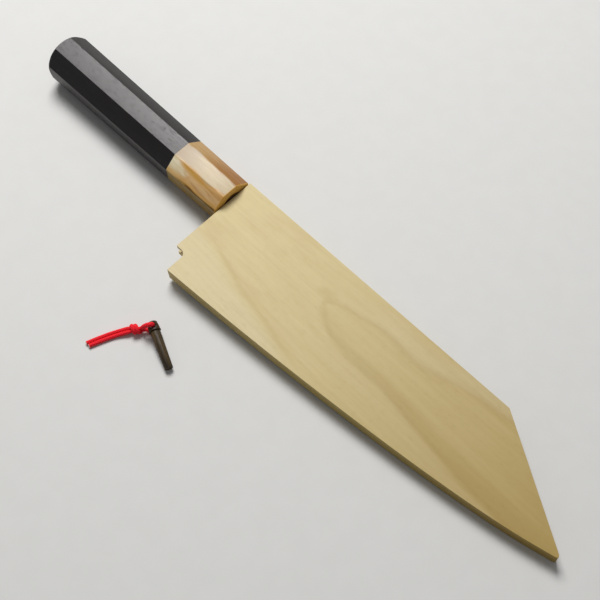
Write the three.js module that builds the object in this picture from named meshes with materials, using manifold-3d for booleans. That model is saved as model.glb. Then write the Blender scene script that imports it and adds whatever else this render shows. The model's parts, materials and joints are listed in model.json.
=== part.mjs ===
// A kitchen knife in its wooden sheath (saya), with the sheath's retaining pin beside it on a red cord.
//
// Millimetres, +Z up. The knife lies right face up on a table. The ferrule and the sheath's edge side touch
// the table, so knife and sheath are turned a few degrees about that edge. In the knife's own frame X runs
// along the handle towards the tip, Y points to the spine side and Z out of the right face. Its origin is on
// the handle's axis at the front of the ferrule.

import * as THREE from 'three';
import { mergeVertices } from 'three/addons/utils/BufferGeometryUtils.js';
import Module from 'manifold-3d';

// Blade
const NECK_LENGTH = 9.5; // front of the ferrule to the heel
const BLADE_LENGTH = 211.3; // heel to tip
const SPINE_RISE = 8.6; // handle axis up to the spine
const HEEL_DROP = 44.6; // handle axis down to the heel
const TIP_DROP = 22.6; // handle axis down to the tip
const CLIP_LENGTH = 51.5; // run of the clipped spine in front of the tip
const EDGE_HEEL_SLOPE = 0.049; // rise of the edge at the heel
const EDGE_HEEL_REACH = 83; // how far the heel's slope is felt
const EDGE_TIP_SLOPE = 0.234; // rise of the edge at the tip
const EDGE_TIP_REACH = 39; // how far the tip's slope is felt
const SPINE_THICKNESS = 2.8; // spine at the heel
const TIP_THICKNESS = 1.3; // spine at the tip
const BEVEL_HEIGHT = 16; // edge up to the line where the bevel starts
const BEVEL_SHARE = 0.68; // thickness at that line, as a share of the spine's
const EDGE_THICKNESS = 0.2;
const TIP_BLUNT = 0.8; // how far short of a point the tip ends
const BLADE_STEPS = 14; // sections from heel to clip, and half as many along the clip

// Neck and tang
const NECK_RISE = 6.8; // handle axis up to the top of the neck at the ferrule
const NECK_DROP = 7; // handle axis down to the bottom of the neck at the ferrule
const NECK_ROOT_DROP = 10; // the same where the neck runs into the blade
const NECK_ROOT = 3; // how deep the neck reaches into the blade
const NECK_EASE = 0.05; // neck and tang thinner than the spine
const TANG_LENGTH = 84;
const TANG_HEIGHT = 11; // at the front of the ferrule
const TANG_END_HEIGHT = 6;
const TANG_END_THICKNESS = 2;

// Handle and ferrule, an octagon that narrows from the butt to the front
const HANDLE_LENGTH = 100.5;
const FERRULE_LENGTH = 36.5;
const BUTT_WIDTH = 26;
const BUTT_HEIGHT = 24;
const BUTT_TOP_FACET = 10.6;
const BUTT_SIDE_FACET = 9.6;
const FRONT_WIDTH = 23.6;
const FRONT_HEIGHT = 20.3;
const FRONT_TOP_FACET = 9.2;
const FRONT_SIDE_FACET = 8.5;
const BUTT_DOME = 7; // depth of the rounded butt
const DOME_EASE = 0.25; // the dome is this much wider than the corners, on the radius
const DOME_STEPS = 12;
const DOME_SIDES = 64;
const FRONT_CHAMFER = 0.4;

// Inside the handle
const DOWEL_DIAMETER = 12.6;
const TANG_PAST_DOWEL = 23; // the tang reaches this far behind the dowel
const SEAL_DEPTH = 3; // resin plug in the ferrule's mouth
const BORE_PLAY = 0.15; // dowel and seal in their bore, on the radius
const BORE_END_ROOM = 1; // behind the dowel and behind the tang
const TANG_PLAY = 0.3; // round the tang

// Sheath: two face boards with a middle layer of strips between them
const BOARD = 2.65; // face board thickness
const SLOT_PLAY = 0.3; // above and below the blade
const BLADE_PLAY = 0.4; // round the blade's outline
const SPINE_WALL = 3.5;
const EDGE_WALL = 5;
const CLIP_WALL = 5.3;
const MOUTH_GAP = 0.6; // ferrule to the sheath's mouth
const NOSE_ROUND = 3.5; // how far the rounding of the nose reaches along its sides
const STEP_DEPTH = 6.7; // cove at the mouth, along the knife
const STEP_HEIGHT = 12.35; // cove at the mouth, from the edge side
const STEP_RADIUS = 3.3; // round corner inside the cove
const GLUE = 0.06; // glue line between sheath pieces, between handle and ferrule, and at the neck

// Pin
const SHANK_LENGTH = 20.3;
const SHANK_DIAMETER = 5.1;
const SHANK_END_DIAMETER = 4.1;
const HEAD_DIAMETER = 6.1; // at its front, where it is widest
const HEAD_BACK_DIAMETER = 5.1;
const HEAD_LENGTH = 5;
const HEAD_ROUND = 0.5;
const GROOVE_WIDTH = 0.6; // turned groove between head and shank
const GROOVE_DEPTH = 0.45;
const EYE_DIAMETER = 3;
const EYE_FROM_SHANK = 2.4; // front of the head to the middle of the eye
const HEAD_LIFT = 1.9; // the cord under the head holds it off the table
const PIN_PLAY = 0.15; // pin in its channel, on the radius
const PIN_INSET = 3.4; // mouth to the middle of the channel
const PIN_CHANNEL_ROOM = 1; // channel past the end of the pin
const PIN_SIDES = 32;

// Where the pin and its cord lie on the table, under the front of the ferrule as zero
const PIN_X = 24.18;
const PIN_Y = -74.53;
const PIN_HEADING = -22.3; // degrees, the way the shank points

// Cord
const CORD_DIAMETER = 2;
const CORD_SIDES = 8;
const LOOP_STEPS = 46;
const TAIL_STEPS = 12;
const LOOP_ROUTE = [
  [20.26, -78.41, 4.2], [20.82, -78.12, 5.1], [21.42, -77.83, 6.1], [22.07, -77.41, 7.15],
  [22.88, -76.77, 8.1], [23.61, -75.92, 8.5], [23.94, -75.24, 8.4], [24.1, -74.77, 8],
  [24.17, -74.56, 7.25], [24.18, -74.53, 6.2], [24.18, -74.53, 4.95], [24.18, -74.53, 3.6],
  [24.18, -74.59, 2.6], [24.09, -74.9, 1.7], [23.84, -75.5, 1.15], [23.4, -76.05, 1.05],
  [22.55, -76.4, 1.35], [21.8, -76.85, 1.8], [21.2, -77.45, 2.05], [20.65, -78.2, 2.05],
];
const TAIL_A_ROUTE = [
  [14.73, -83.18, 2.1], [13.06, -85.78, 1.5], [11.53, -88.53, 1.15], [10.08, -91.78, 1.05], [8.86, -95.02, 1.05],
  [7.81, -97.99, 1.05], [6.86, -100.84, 1.05], [6.28, -102.6, 1.05],
];
const TAIL_B_ROUTE = [
  [16.38, -84.31, 2.1], [14.75, -86.85, 1.5], [13.31, -89.44, 1.15], [11.93, -92.54, 1.05], [10.74, -95.7, 1.05],
  [9.7, -98.63, 1.05], [8.76, -101.45, 1.05], [8.36, -102.65, 1.05],
];
const KNOT_PLACE = [17.76, -81.14, 2.8];
const KNOT_HEADING = 50.5; // degrees, along the cord towards the pin
const KNOT_LENGTH = 5.8;
const KNOT_DIAMETER = 5.5;
const KNOT_NECK_DIAMETER = 3.8;
const KNOT_SIDES = 16;

const CURVE_SEGMENTS = 28;
const BORE_SIDES = 40;

const wasm = await Module();
wasm.setup();

const material = {
  steel: () => new THREE.MeshStandardMaterial({ color: 0xb9bcc0, roughness: 0.3, metalness: 1 }),
  ebony: () => new THREE.MeshStandardMaterial({ color: 0x1e1b19, roughness: 0.42, metalness: 0 }),
  horn: () => new THREE.MeshStandardMaterial({ color: 0xd9c49a, roughness: 0.3, metalness: 0 }),
  paleWood: () => new THREE.MeshStandardMaterial({ color: 0xd8c7a0, roughness: 0.65, metalness: 0 }),
  pinWood: () => new THREE.MeshStandardMaterial({ color: 0x4b3f32, roughness: 0.5, metalness: 0 }),
  resin: () => new THREE.MeshStandardMaterial({ color: 0x73532f, roughness: 0.4, metalness: 0 }),
  redCord: () => new THREE.MeshStandardMaterial({ color: 0xc8142a, roughness: 0.85, metalness: 0 }),
};

function piece(name, geometry, surface) {
  const mesh = new THREE.Mesh(geometry, surface);
  mesh.name = name;
  return mesh;
}

// Booleans

function solidOf(geometry) {
  const bare = geometry.clone();
  bare.deleteAttribute('normal');
  bare.deleteAttribute('uv');
  const merged = mergeVertices(bare, 1e-4);
  const index = merged.index.array;
  const triangles = [];
  for (let i = 0; i < index.length; i += 3) {
    const [a, b, c] = [index[i], index[i + 1], index[i + 2]];
    if (a !== b && b !== c && c !== a) triangles.push(a, b, c);
  }
  return new wasm.Manifold(new wasm.Mesh({
    numProp: 3,
    vertProperties: new Float32Array(merged.attributes.position.array),
    triVerts: new Uint32Array(triangles),
  }));
}

function geometryOf(solid) {
  const mesh = solid.getMesh();
  const geometry = new THREE.BufferGeometry();
  geometry.setAttribute('position', new THREE.Float32BufferAttribute(mesh.vertProperties, 3));
  geometry.setIndex(Array.from(mesh.triVerts));
  geometry.computeVertexNormals();
  return geometry;
}

function cut(body, ...tools) {
  return geometryOf(tools.reduce((solid, tool) => solid.subtract(solidOf(tool)), solidOf(body)));
}

function join(...bodies) {
  return geometryOf(bodies.slice(1).reduce((solid, body) => solid.add(solidOf(body)), solidOf(bodies[0])));
}

function common(body, tool) {
  return geometryOf(solidOf(body).intersect(solidOf(tool)));
}

// Shapes

// A closed solid through rings of points, each ring with as many points as the first.
function loft(rings) {
  const size = rings[0].length;
  const index = [];
  for (let r = 0; r + 1 < rings.length; r += 1) {
    for (let k = 0; k < size; k += 1) {
      const a = r * size + k;
      const b = r * size + ((k + 1) % size);
      index.push(a, b, a + size, b, b + size, a + size);
    }
  }
  const last = (rings.length - 1) * size;
  for (let k = 1; k + 1 < size; k += 1) {
    index.push(0, k + 1, k);
    index.push(last, last + k, last + k + 1);
  }
  const geometry = new THREE.BufferGeometry().setFromPoints(rings.flat());
  geometry.setIndex(index);
  geometry.computeVertexNormals();
  return geometry;
}

function slab(shape, bottom, top) {
  const options = { depth: top - bottom, bevelEnabled: false, curveSegments: CURVE_SEGMENTS };
  return new THREE.ExtrudeGeometry(shape, options).translate(0, 0, bottom);
}

// A round bar along X, which may taper.
function bar(startX, endX, startDiameter, endDiameter, sides) {
  const length = endX - startX;
  return new THREE.CylinderGeometry(endDiameter / 2, startDiameter / 2, length, sides)
    .rotateZ(-Math.PI / 2)
    .translate(startX + length / 2, 0, 0);
}

// A four-sided section across X, given by its bottom, top and full thickness.
function blockRing(x, bottom, top, thickness) {
  const half = thickness / 2;
  return [
    new THREE.Vector3(x, bottom, -half),
    new THREE.Vector3(x, top, -half),
    new THREE.Vector3(x, top, half),
    new THREE.Vector3(x, bottom, half),
  ];
}

function tube(route, steps) {
  const section = new THREE.Shape();
  for (let k = 0; k < CORD_SIDES; k += 1) {
    const angle = (2 * Math.PI * k) / CORD_SIDES;
    const x = (Math.cos(angle) * CORD_DIAMETER) / 2;
    const y = (Math.sin(angle) * CORD_DIAMETER) / 2;
    if (k === 0) section.moveTo(x, y);
    else section.lineTo(x, y);
  }
  const path = new THREE.CatmullRomCurve3(route.map((point) => new THREE.Vector3(...point)));
  return new THREE.ExtrudeGeometry(section, { steps, extrudePath: path, bevelEnabled: false });
}

// The blade's outline in the knife's frame

const heel = new THREE.Vector2(NECK_LENGTH, -HEEL_DROP);
const tip = new THREE.Vector2(NECK_LENGTH + BLADE_LENGTH, -TIP_DROP);
const clip = new THREE.Vector2(tip.x - CLIP_LENGTH, SPINE_RISE);
const heelRun = new THREE.Vector2(1, EDGE_HEEL_SLOPE);
const tipRun = new THREE.Vector2(1, EDGE_TIP_SLOPE);
const clipRun = tip.clone().sub(clip);

// The way out of the blade's edge, at a run along it.
function outward(run) {
  return new THREE.Vector2(run.y, -run.x).normalize();
}

// The cutting edge, or a line that follows it at a distance.
function edgeCurve(distance) {
  const heelShift = outward(heelRun).multiplyScalar(distance);
  const tipShift = outward(tipRun).multiplyScalar(distance);
  const start = heel.clone().add(heelShift);
  const end = tip.clone().add(tipShift);
  return new THREE.CubicBezierCurve(
    start,
    start.clone().addScaledVector(heelRun, EDGE_HEEL_REACH),
    end.clone().addScaledVector(tipRun, -EDGE_TIP_REACH),
    end,
  );
}

// Where two lines, each given by a point and a run, cross.
function crossing(pointA, runA, pointB, runB) {
  const share = pointB.clone().sub(pointA).cross(runB) / runA.cross(runB);
  return pointA.clone().addScaledVector(runA, share);
}

// A point on the clip line or a line that follows it at a distance.
function clipPoint(distance) {
  return tip.clone().addScaledVector(outward(clipRun), -distance);
}

// Blade with neck and tang

function edgeHeight(curve, x) {
  let low = 0;
  let high = 1;
  for (let k = 0; k < 40; k += 1) {
    const middle = (low + high) / 2;
    if (curve.getPoint(middle).x < x) low = middle;
    else high = middle;
  }
  return curve.getPoint(low).y;
}

function bladeRing(x) {
  const bottom = edgeHeight(edgeCurve(0), x);
  const top = x > clip.x ? clip.y + ((x - clip.x) * clipRun.y) / clipRun.x : SPINE_RISE;
  const along = (x - heel.x) / BLADE_LENGTH;
  const spine = THREE.MathUtils.lerp(SPINE_THICKNESS, TIP_THICKNESS, along) / 2;
  const bevelTop = bottom + Math.min(BEVEL_HEIGHT, (top - bottom) * BEVEL_SHARE);
  const bevel = spine * BEVEL_SHARE * Math.min(1, (bevelTop - bottom) / BEVEL_HEIGHT) + EDGE_THICKNESS / 2;
  const rise = (top - bevelTop) / (SPINE_RISE - bevelTop);
  const back = THREE.MathUtils.lerp(bevel, Math.max(spine, bevel), rise);
  const edge = EDGE_THICKNESS / 2;
  return [
    new THREE.Vector3(x, bottom, -edge),
    new THREE.Vector3(x, bevelTop, -bevel),
    new THREE.Vector3(x, top, -back),
    new THREE.Vector3(x, top, back),
    new THREE.Vector3(x, bevelTop, bevel),
    new THREE.Vector3(x, bottom, edge),
  ];
}

function makeBlade() {
  const rings = [];
  for (let k = 0; k <= BLADE_STEPS; k += 1) {
    rings.push(bladeRing(THREE.MathUtils.lerp(heel.x, clip.x, k / BLADE_STEPS)));
  }
  const clipSteps = Math.ceil(BLADE_STEPS / 2);
  for (let k = 1; k <= clipSteps; k += 1) {
    rings.push(bladeRing(THREE.MathUtils.lerp(clip.x, tip.x - TIP_BLUNT, k / clipSteps)));
  }
  const neckThickness = SPINE_THICKNESS - NECK_EASE;
  const neck = loft([
    blockRing(GLUE, -NECK_DROP, NECK_RISE, neckThickness),
    blockRing(NECK_LENGTH, -NECK_ROOT_DROP, SPINE_RISE - NECK_EASE, neckThickness),
    blockRing(NECK_LENGTH + NECK_ROOT, -NECK_ROOT_DROP, SPINE_RISE - NECK_EASE, neckThickness),
  ]);
  const tangStart = NECK_ROOT; // the tang runs on into the neck
  const tang = loft([
    blockRing(-TANG_LENGTH, -TANG_END_HEIGHT / 2, TANG_END_HEIGHT / 2, TANG_END_THICKNESS),
    blockRing(0, -TANG_HEIGHT / 2, TANG_HEIGHT / 2, neckThickness - NECK_EASE),
    blockRing(tangStart, -TANG_HEIGHT / 2, TANG_HEIGHT / 2, neckThickness - NECK_EASE),
  ]);
  return piece('blade', join(loft(rings), neck, tang), material.steel());
}

// Handle

const jointX = -FERRULE_LENGTH;
const buttX = jointX - HANDLE_LENGTH;

// The handle's octagon at a place along it, drawn in by a chamfer.
function octagonRing(x, chamfer) {
  const share = x / buttX;
  const width = THREE.MathUtils.lerp(FRONT_WIDTH, BUTT_WIDTH, share) / 2 - chamfer;
  const height = THREE.MathUtils.lerp(FRONT_HEIGHT, BUTT_HEIGHT, share) / 2 - chamfer;
  const drawnIn = chamfer * Math.tan(Math.PI / 8);
  const top = THREE.MathUtils.lerp(FRONT_TOP_FACET, BUTT_TOP_FACET, share) / 2 - drawnIn;
  const side = THREE.MathUtils.lerp(FRONT_SIDE_FACET, BUTT_SIDE_FACET, share) / 2 - drawnIn;
  const corners = [
    [width, -side], [width, side], [top, height], [-top, height],
    [-width, side], [-width, -side], [-top, -height], [top, -height],
  ];
  return corners.map(([y, z]) => new THREE.Vector3(x, y, z));
}

const boreDiameter = DOWEL_DIAMETER + 2 * BORE_PLAY;
const dowelEnd = TANG_PAST_DOWEL - TANG_LENGTH;

// Height and thickness of the tang at a place along it.
function tangSize(x) {
  const share = -x / TANG_LENGTH;
  const thickness = SPINE_THICKNESS - 2 * NECK_EASE;
  return {
    height: THREE.MathUtils.lerp(TANG_HEIGHT, TANG_END_HEIGHT, share),
    thickness: THREE.MathUtils.lerp(thickness, TANG_END_THICKNESS, share),
  };
}

// A round bar along the handle whose butt end is half an ellipsoid a little wider than the octagon's corners.
function buttDome() {
  const corner = octagonRing(buttX, 0)[0];
  const radius = Math.hypot(corner.y, corner.z) + DOME_EASE;
  const points = [];
  for (let k = 0; k <= DOME_STEPS; k += 1) {
    const angle = (Math.PI / 2) * (k / DOME_STEPS);
    points.push(new THREE.Vector2(radius * Math.sin(angle), buttX + BUTT_DOME * (1 - Math.cos(angle))));
  }
  points.push(new THREE.Vector2(radius, jointX + 1), new THREE.Vector2(0, jointX + 1));
  return new THREE.LatheGeometry(points, DOME_SIDES).rotateZ(-Math.PI / 2);
}

function makeHandle() {
  const body = common(loft([octagonRing(buttX, 0), octagonRing(jointX - GLUE, 0)]), buttDome());
  const tang = tangSize(dowelEnd);
  const tangBore = Math.hypot(tang.height, tang.thickness) + 2 * TANG_PLAY;
  const dowelBore = bar(dowelEnd - BORE_END_ROOM, jointX + 1, boreDiameter, boreDiameter, BORE_SIDES);
  const tangHole = bar(-TANG_LENGTH - BORE_END_ROOM, jointX, tangBore, tangBore, BORE_SIDES);
  return piece('handle_body', cut(body, dowelBore, tangHole), material.ebony());
}

function makeFerrule() {
  const body = loft([octagonRing(jointX, 0), octagonRing(-FRONT_CHAMFER, 0), octagonRing(0, FRONT_CHAMFER)]);
  const bore = bar(jointX - 1, 1, boreDiameter, boreDiameter, BORE_SIDES);
  return piece('handle_ferrule', cut(body, bore), material.horn());
}

// The slot that the tang leaves in the dowel and in the seal.
function tangSlot(startX, endX) {
  const rings = [startX, endX].map((x) => {
    const tang = tangSize(x);
    const half = tang.height / 2 + TANG_PLAY;
    return blockRing(x, -half, half, tang.thickness + 2 * TANG_PLAY);
  });
  return loft(rings);
}

function makeDowel() {
  const start = -SEAL_DEPTH - GLUE;
  const body = bar(dowelEnd, start, DOWEL_DIAMETER, DOWEL_DIAMETER, BORE_SIDES);
  return piece('handle_dowel', cut(body, tangSlot(dowelEnd - 1, start + 1)), material.paleWood());
}

function makeSeal() {
  const body = bar(-SEAL_DEPTH, -GLUE, DOWEL_DIAMETER, DOWEL_DIAMETER, BORE_SIDES);
  return piece('tang_seal', cut(body, tangSlot(-SEAL_DEPTH - 1, 1)), material.resin());
}

// Sheath

const slotHalf = SPINE_THICKNESS / 2 + SLOT_PLAY;
const sheathHalf = slotHalf + BOARD;
const spineSide = SPINE_RISE + BLADE_PLAY + SPINE_WALL;
const spineInner = SPINE_RISE + BLADE_PLAY;
const spineRun = new THREE.Vector2(1, 0);
const stepX = MOUTH_GAP + STEP_DEPTH;
const outerEdge = edgeCurve(BLADE_PLAY + EDGE_WALL);
const innerEdge = edgeCurve(BLADE_PLAY);
const outerClip = clipPoint(BLADE_PLAY + CLIP_WALL);
const innerClip = clipPoint(BLADE_PLAY);
const outerCorner = crossing(new THREE.Vector2(0, spineSide), spineRun, outerClip, clipRun);
const innerCorner = crossing(new THREE.Vector2(0, spineInner), spineRun, innerClip, clipRun);
const nose = crossing(outerEdge.v3, tipRun, outerClip, clipRun);
const innerNose = crossing(innerEdge.v3, tipRun, innerClip, clipRun);

// The edge curve's straight way back to the step at the mouth.
function edgeStart(curve) {
  return curve.v0.clone().addScaledVector(heelRun, stepX - curve.v0.x);
}

const lowerCorner = edgeStart(outerEdge);
const stepY = lowerCorner.y + STEP_HEIGHT;

const noseEdgeSide = nose.clone().addScaledVector(tipRun.clone().normalize(), -NOSE_ROUND);
const noseClipSide = nose.clone().addScaledVector(clipRun.clone().normalize(), -NOSE_ROUND);

// The outer line from the step along the edge side and round the nose to the clipped side.
function drawOuterEdge(shape) {
  const { v0, v1, v2, v3 } = outerEdge;
  shape.lineTo(lowerCorner.x, lowerCorner.y);
  shape.lineTo(v0.x, v0.y);
  shape.bezierCurveTo(v1.x, v1.y, v2.x, v2.y, v3.x, v3.y);
  shape.lineTo(noseEdgeSide.x, noseEdgeSide.y);
  shape.quadraticCurveTo(nose.x, nose.y, noseClipSide.x, noseClipSide.y);
}

function boardShape() {
  const shape = new THREE.Shape();
  shape.moveTo(MOUTH_GAP, spineSide);
  shape.lineTo(MOUTH_GAP, stepY);
  shape.lineTo(stepX - STEP_RADIUS, stepY);
  shape.absarc(stepX - STEP_RADIUS, stepY - STEP_RADIUS, STEP_RADIUS, Math.PI / 2, 0, true);
  drawOuterEdge(shape);
  shape.lineTo(outerCorner.x, outerCorner.y);
  return shape;
}

// The channel that the pin is pushed into, half in each face board, from the cove towards the spine.
function pinChannel() {
  const shank = SHANK_DIAMETER / 2 + PIN_PLAY;
  const end = SHANK_END_DIAMETER / 2 + PIN_PLAY;
  const length = SHANK_LENGTH + PIN_CHANNEL_ROOM;
  const channel = new THREE.CylinderGeometry(end, shank, length, PIN_SIDES);
  return channel.translate(MOUTH_GAP + PIN_INSET, stepY + length / 2, 0);
}

function makeUpperBoard() {
  const board = slab(boardShape(), slotHalf, sheathHalf);
  return piece('saya_upper_board', cut(board, pinChannel()), material.paleWood());
}

function makeLowerBoard() {
  const board = slab(boardShape(), -sheathHalf, -slotHalf);
  return piece('saya_lower_board', cut(board, pinChannel()), material.paleWood());
}

function strip(name, shape) {
  return piece(name, slab(shape, -slotHalf + GLUE, slotHalf - GLUE), material.paleWood());
}

function makeSpineStrip() {
  const shape = new THREE.Shape();
  shape.moveTo(MOUTH_GAP, spineSide);
  shape.lineTo(MOUTH_GAP, spineInner);
  shape.lineTo(innerCorner.x - GLUE, spineInner);
  shape.lineTo(outerCorner.x - GLUE, spineSide);
  return strip('saya_spine_strip', shape);
}

function makeNoseBlock() {
  const shape = new THREE.Shape();
  shape.moveTo(outerCorner.x, outerCorner.y);
  shape.lineTo(innerCorner.x, innerCorner.y);
  for (const end of [innerNose, noseClipSide]) {
    const seam = end.clone().addScaledVector(clipRun.clone().normalize(), -GLUE);
    shape.lineTo(seam.x, seam.y);
  }
  return strip('saya_nose_block', shape);
}

function makeEdgeStrip() {
  const start = edgeStart(innerEdge);
  const shape = new THREE.Shape();
  shape.moveTo(start.x, start.y);
  drawOuterEdge(shape);
  const { v0, v1, v2, v3 } = innerEdge;
  shape.lineTo(innerNose.x, innerNose.y);
  shape.lineTo(v3.x, v3.y);
  shape.bezierCurveTo(v2.x, v2.y, v1.x, v1.y, v0.x, v0.y);
  return strip('saya_edge_strip', shape);
}

// Pin, along X with the middle of its eye at the origin and the shank in front

function makePin() {
  const front = EYE_FROM_SHANK;
  const back = front - HEAD_LENGTH;
  const profile = [
    [0, back],
    [HEAD_BACK_DIAMETER / 2 - HEAD_ROUND, back],
    [HEAD_BACK_DIAMETER / 2, back + HEAD_ROUND],
    [HEAD_DIAMETER / 2, front],
    [SHANK_DIAMETER / 2 - GROOVE_DEPTH, front],
    [SHANK_DIAMETER / 2 - GROOVE_DEPTH, front + GROOVE_WIDTH],
    [SHANK_DIAMETER / 2, front + GROOVE_WIDTH],
    [SHANK_END_DIAMETER / 2, front + SHANK_LENGTH],
    [0, front + SHANK_LENGTH],
  ];
  const points = profile.map(([radius, along]) => new THREE.Vector2(radius, along));
  const body = new THREE.LatheGeometry(points, PIN_SIDES).rotateZ(-Math.PI / 2);
  const eye = new THREE.CylinderGeometry(EYE_DIAMETER / 2, EYE_DIAMETER / 2, 2 * HEAD_DIAMETER, PIN_SIDES / 2)
    .rotateX(Math.PI / 2);
  return piece('saya_pin', cut(body, eye), material.pinWood());
}

function makeKnot() {
  const end = KNOT_LENGTH / 2;
  const shoulder = end - (KNOT_DIAMETER - KNOT_NECK_DIAMETER) / 2;
  const profile = [
    [0, -end],
    [KNOT_NECK_DIAMETER / 2, -end],
    [KNOT_DIAMETER / 2, -shoulder],
    [KNOT_DIAMETER / 2, shoulder],
    [KNOT_NECK_DIAMETER / 2, end],
    [0, end],
  ];
  const points = profile.map(([radius, along]) => new THREE.Vector2(radius, along));
  const body = new THREE.LatheGeometry(points, KNOT_SIDES)
    .rotateZ(-Math.PI / 2)
    .rotateZ(THREE.MathUtils.degToRad(KNOT_HEADING))
    .translate(...KNOT_PLACE);
  return piece('cord_knot', body, material.redCord());
}

// Assembly

// The sheath touches the table along the straight stretch of its edge side behind the nose. Knife and sheath
// turn about that line until the lowest corner of the ferrule meets the table too.
function layDown(group) {
  const touch = outerEdge.v3;
  const along = tipRun.clone().normalize();
  const foot = octagonRing(-FRONT_CHAMFER, 0)[6];
  const below = -foot.z - sheathHalf;
  const across = along.cross(new THREE.Vector2(foot.x - touch.x, foot.y - touch.y));
  group.quaternion.setFromAxisAngle(new THREE.Vector3(along.x, along.y, 0), Math.atan2(below, across));
  const low = new THREE.Vector3(touch.x, touch.y, -sheathHalf).applyQuaternion(group.quaternion);
  group.position.z = -low.z;
}

const lying = new THREE.Group();
lying.add(makeBlade(), makeHandle(), makeFerrule(), makeDowel(), makeSeal());
lying.add(makeUpperBoard(), makeLowerBoard(), makeSpineStrip(), makeNoseBlock(), makeEdgeStrip());
layDown(lying);

// The pin lies on the end of its shank, and with its head on the cord.
const pin = new THREE.Group();
pin.add(makePin());
const eyeHeight = HEAD_LIFT + HEAD_DIAMETER / 2;
const shankFall = Math.atan2(eyeHeight - SHANK_END_DIAMETER / 2, EYE_FROM_SHANK + SHANK_LENGTH);
pin.rotation.set(0, shankFall, THREE.MathUtils.degToRad(PIN_HEADING), 'ZYX');
pin.position.set(PIN_X, PIN_Y, 0);
pin.position.z = -new THREE.Box3().setFromObject(pin, true).min.z;

// The origin is under the middle of everything but the cord.
const table = new THREE.Group();
table.add(lying, pin);
const bounds = new THREE.Box3().setFromObject(table, true);
table.position.set(-(bounds.min.x + bounds.max.x) / 2, -(bounds.min.y + bounds.max.y) / 2, -bounds.min.z);

table.add(
  piece('cord_loop', tube(LOOP_ROUTE, LOOP_STEPS), material.redCord()),
  piece('cord_tail_a', tube(TAIL_A_ROUTE, TAIL_STEPS), material.redCord()),
  piece('cord_tail_b', tube(TAIL_B_ROUTE, TAIL_STEPS), material.redCord()),
  makeKnot(),
);

const knife = new THREE.Group();
knife.add(table);

export default knife;
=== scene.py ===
# %% [markdown]
# # A kitchen knife in its sheath
#
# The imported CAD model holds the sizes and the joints: a knife with an octagonal handle, its flat wooden
# sheath (saya), and the sheath's retaining pin on a knotted red cord. This file gives that model its
# looks. CAD nodes stay where they are, and every new piece is built in the same frame, in metres.

import json
import math

import bmesh
import bpy
from mathutils import Matrix, Vector


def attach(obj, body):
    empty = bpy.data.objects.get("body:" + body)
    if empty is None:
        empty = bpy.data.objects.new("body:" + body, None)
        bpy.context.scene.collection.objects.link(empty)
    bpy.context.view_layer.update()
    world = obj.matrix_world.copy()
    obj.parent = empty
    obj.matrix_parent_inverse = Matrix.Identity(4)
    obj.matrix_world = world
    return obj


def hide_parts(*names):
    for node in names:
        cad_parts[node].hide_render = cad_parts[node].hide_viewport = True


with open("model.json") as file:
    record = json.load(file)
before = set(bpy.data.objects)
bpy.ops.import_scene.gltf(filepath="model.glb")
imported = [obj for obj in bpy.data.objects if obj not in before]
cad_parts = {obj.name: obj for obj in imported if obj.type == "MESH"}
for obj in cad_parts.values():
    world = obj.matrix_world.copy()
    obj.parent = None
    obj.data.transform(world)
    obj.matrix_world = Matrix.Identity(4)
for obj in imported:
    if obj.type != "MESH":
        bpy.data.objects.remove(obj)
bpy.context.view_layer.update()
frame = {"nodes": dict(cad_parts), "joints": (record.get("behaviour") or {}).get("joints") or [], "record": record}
nodes = frame["nodes"]
scene = bpy.context.scene
print("CAD nodes:", ", ".join(sorted(nodes)))

# %% [markdown]
# ## The knife's own frame
#
# The knife lies tilted by a few degrees, because its handle is thicker than the sheath. Grain, bevels and
# facets follow the knife and not the table, so a second frame is worked out first: along the knife to the
# tip, up to the spine side, and out of the upper face. The draw joint and the sheath's under face give
# its directions, and the front of the ferrule gives its origin. Lengths in this file are in millimetres.
# Only the tiny gaps at which vertices are joined, the floor and the lamp are in metres.

# %% The knife's own frame
MM = 0.001
SAME_LEVEL = 0.01

draw_joint = next(joint for joint in frame["joints"] if joint["name"] == "knife_draw")
under_face = next(mount for mount in frame["record"]["mounts"] if mount["name"] == "sheath_under_face")
tipward = -Vector(draw_joint["axis"]).normalized()
faceward = -Vector(under_face["axis"]).normalized()
spineward = faceward.cross(tipward).normalized()

reach = max(vert.co.dot(tipward) for vert in nodes["handle_ferrule"].data.vertices)
front = {
    vert.co.to_tuple(6)
    for vert in nodes["handle_ferrule"].data.vertices
    if reach - vert.co.dot(tipward) < SAME_LEVEL * MM
}
knife_zero = sum((Vector(place) for place in front), Vector()) / len(front)
knife_turn = Matrix((tipward, spineward, faceward)).transposed()
to_knife = knife_turn.transposed()
table_zero = Vector((knife_zero.x, knife_zero.y, 0))


def in_knife(place):
    """A place of the row frame in the knife's own frame, in millimetres."""
    return to_knife @ (Vector(place) - knife_zero) / MM


print("front of the ferrule at", tuple(round(value, 5) for value in knife_zero))

# %% [markdown]
# ## Camera
#
# The photograph looks down at about 60 degrees, across the knife, with the handle at the upper left.
# Focal length and place were fitted to the straight edges of handle, ferrule and sheath. The place is
# measured from the spot on the table under the front of the ferrule.

# %% Camera
FOCAL_LENGTH = 69
SENSOR_WIDTH = 36
CAMERA_PLACE = Vector((263.72, -209.62, 493.28))
CAMERA_TILT = math.radians(29.9)
CAMERA_TURN = math.radians(45.65)

camera = bpy.data.objects.new("camera", bpy.data.cameras.new("camera"))
camera.data.lens = FOCAL_LENGTH
camera.data.sensor_width = SENSOR_WIDTH
camera.location = table_zero + CAMERA_PLACE * MM
camera.rotation_euler = (CAMERA_TILT, 0, CAMERA_TURN)
scene.collection.objects.link(camera)
scene.camera = camera
print("camera at", tuple(round(value, 4) for value in camera.location))

# %% [markdown]
# ## Shader maths
#
# A material is a network of nodes. Written out link by link it is hard to read, so one small class wraps
# a socket: sums of sockets add Math nodes, and one method adds any other node.


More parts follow.
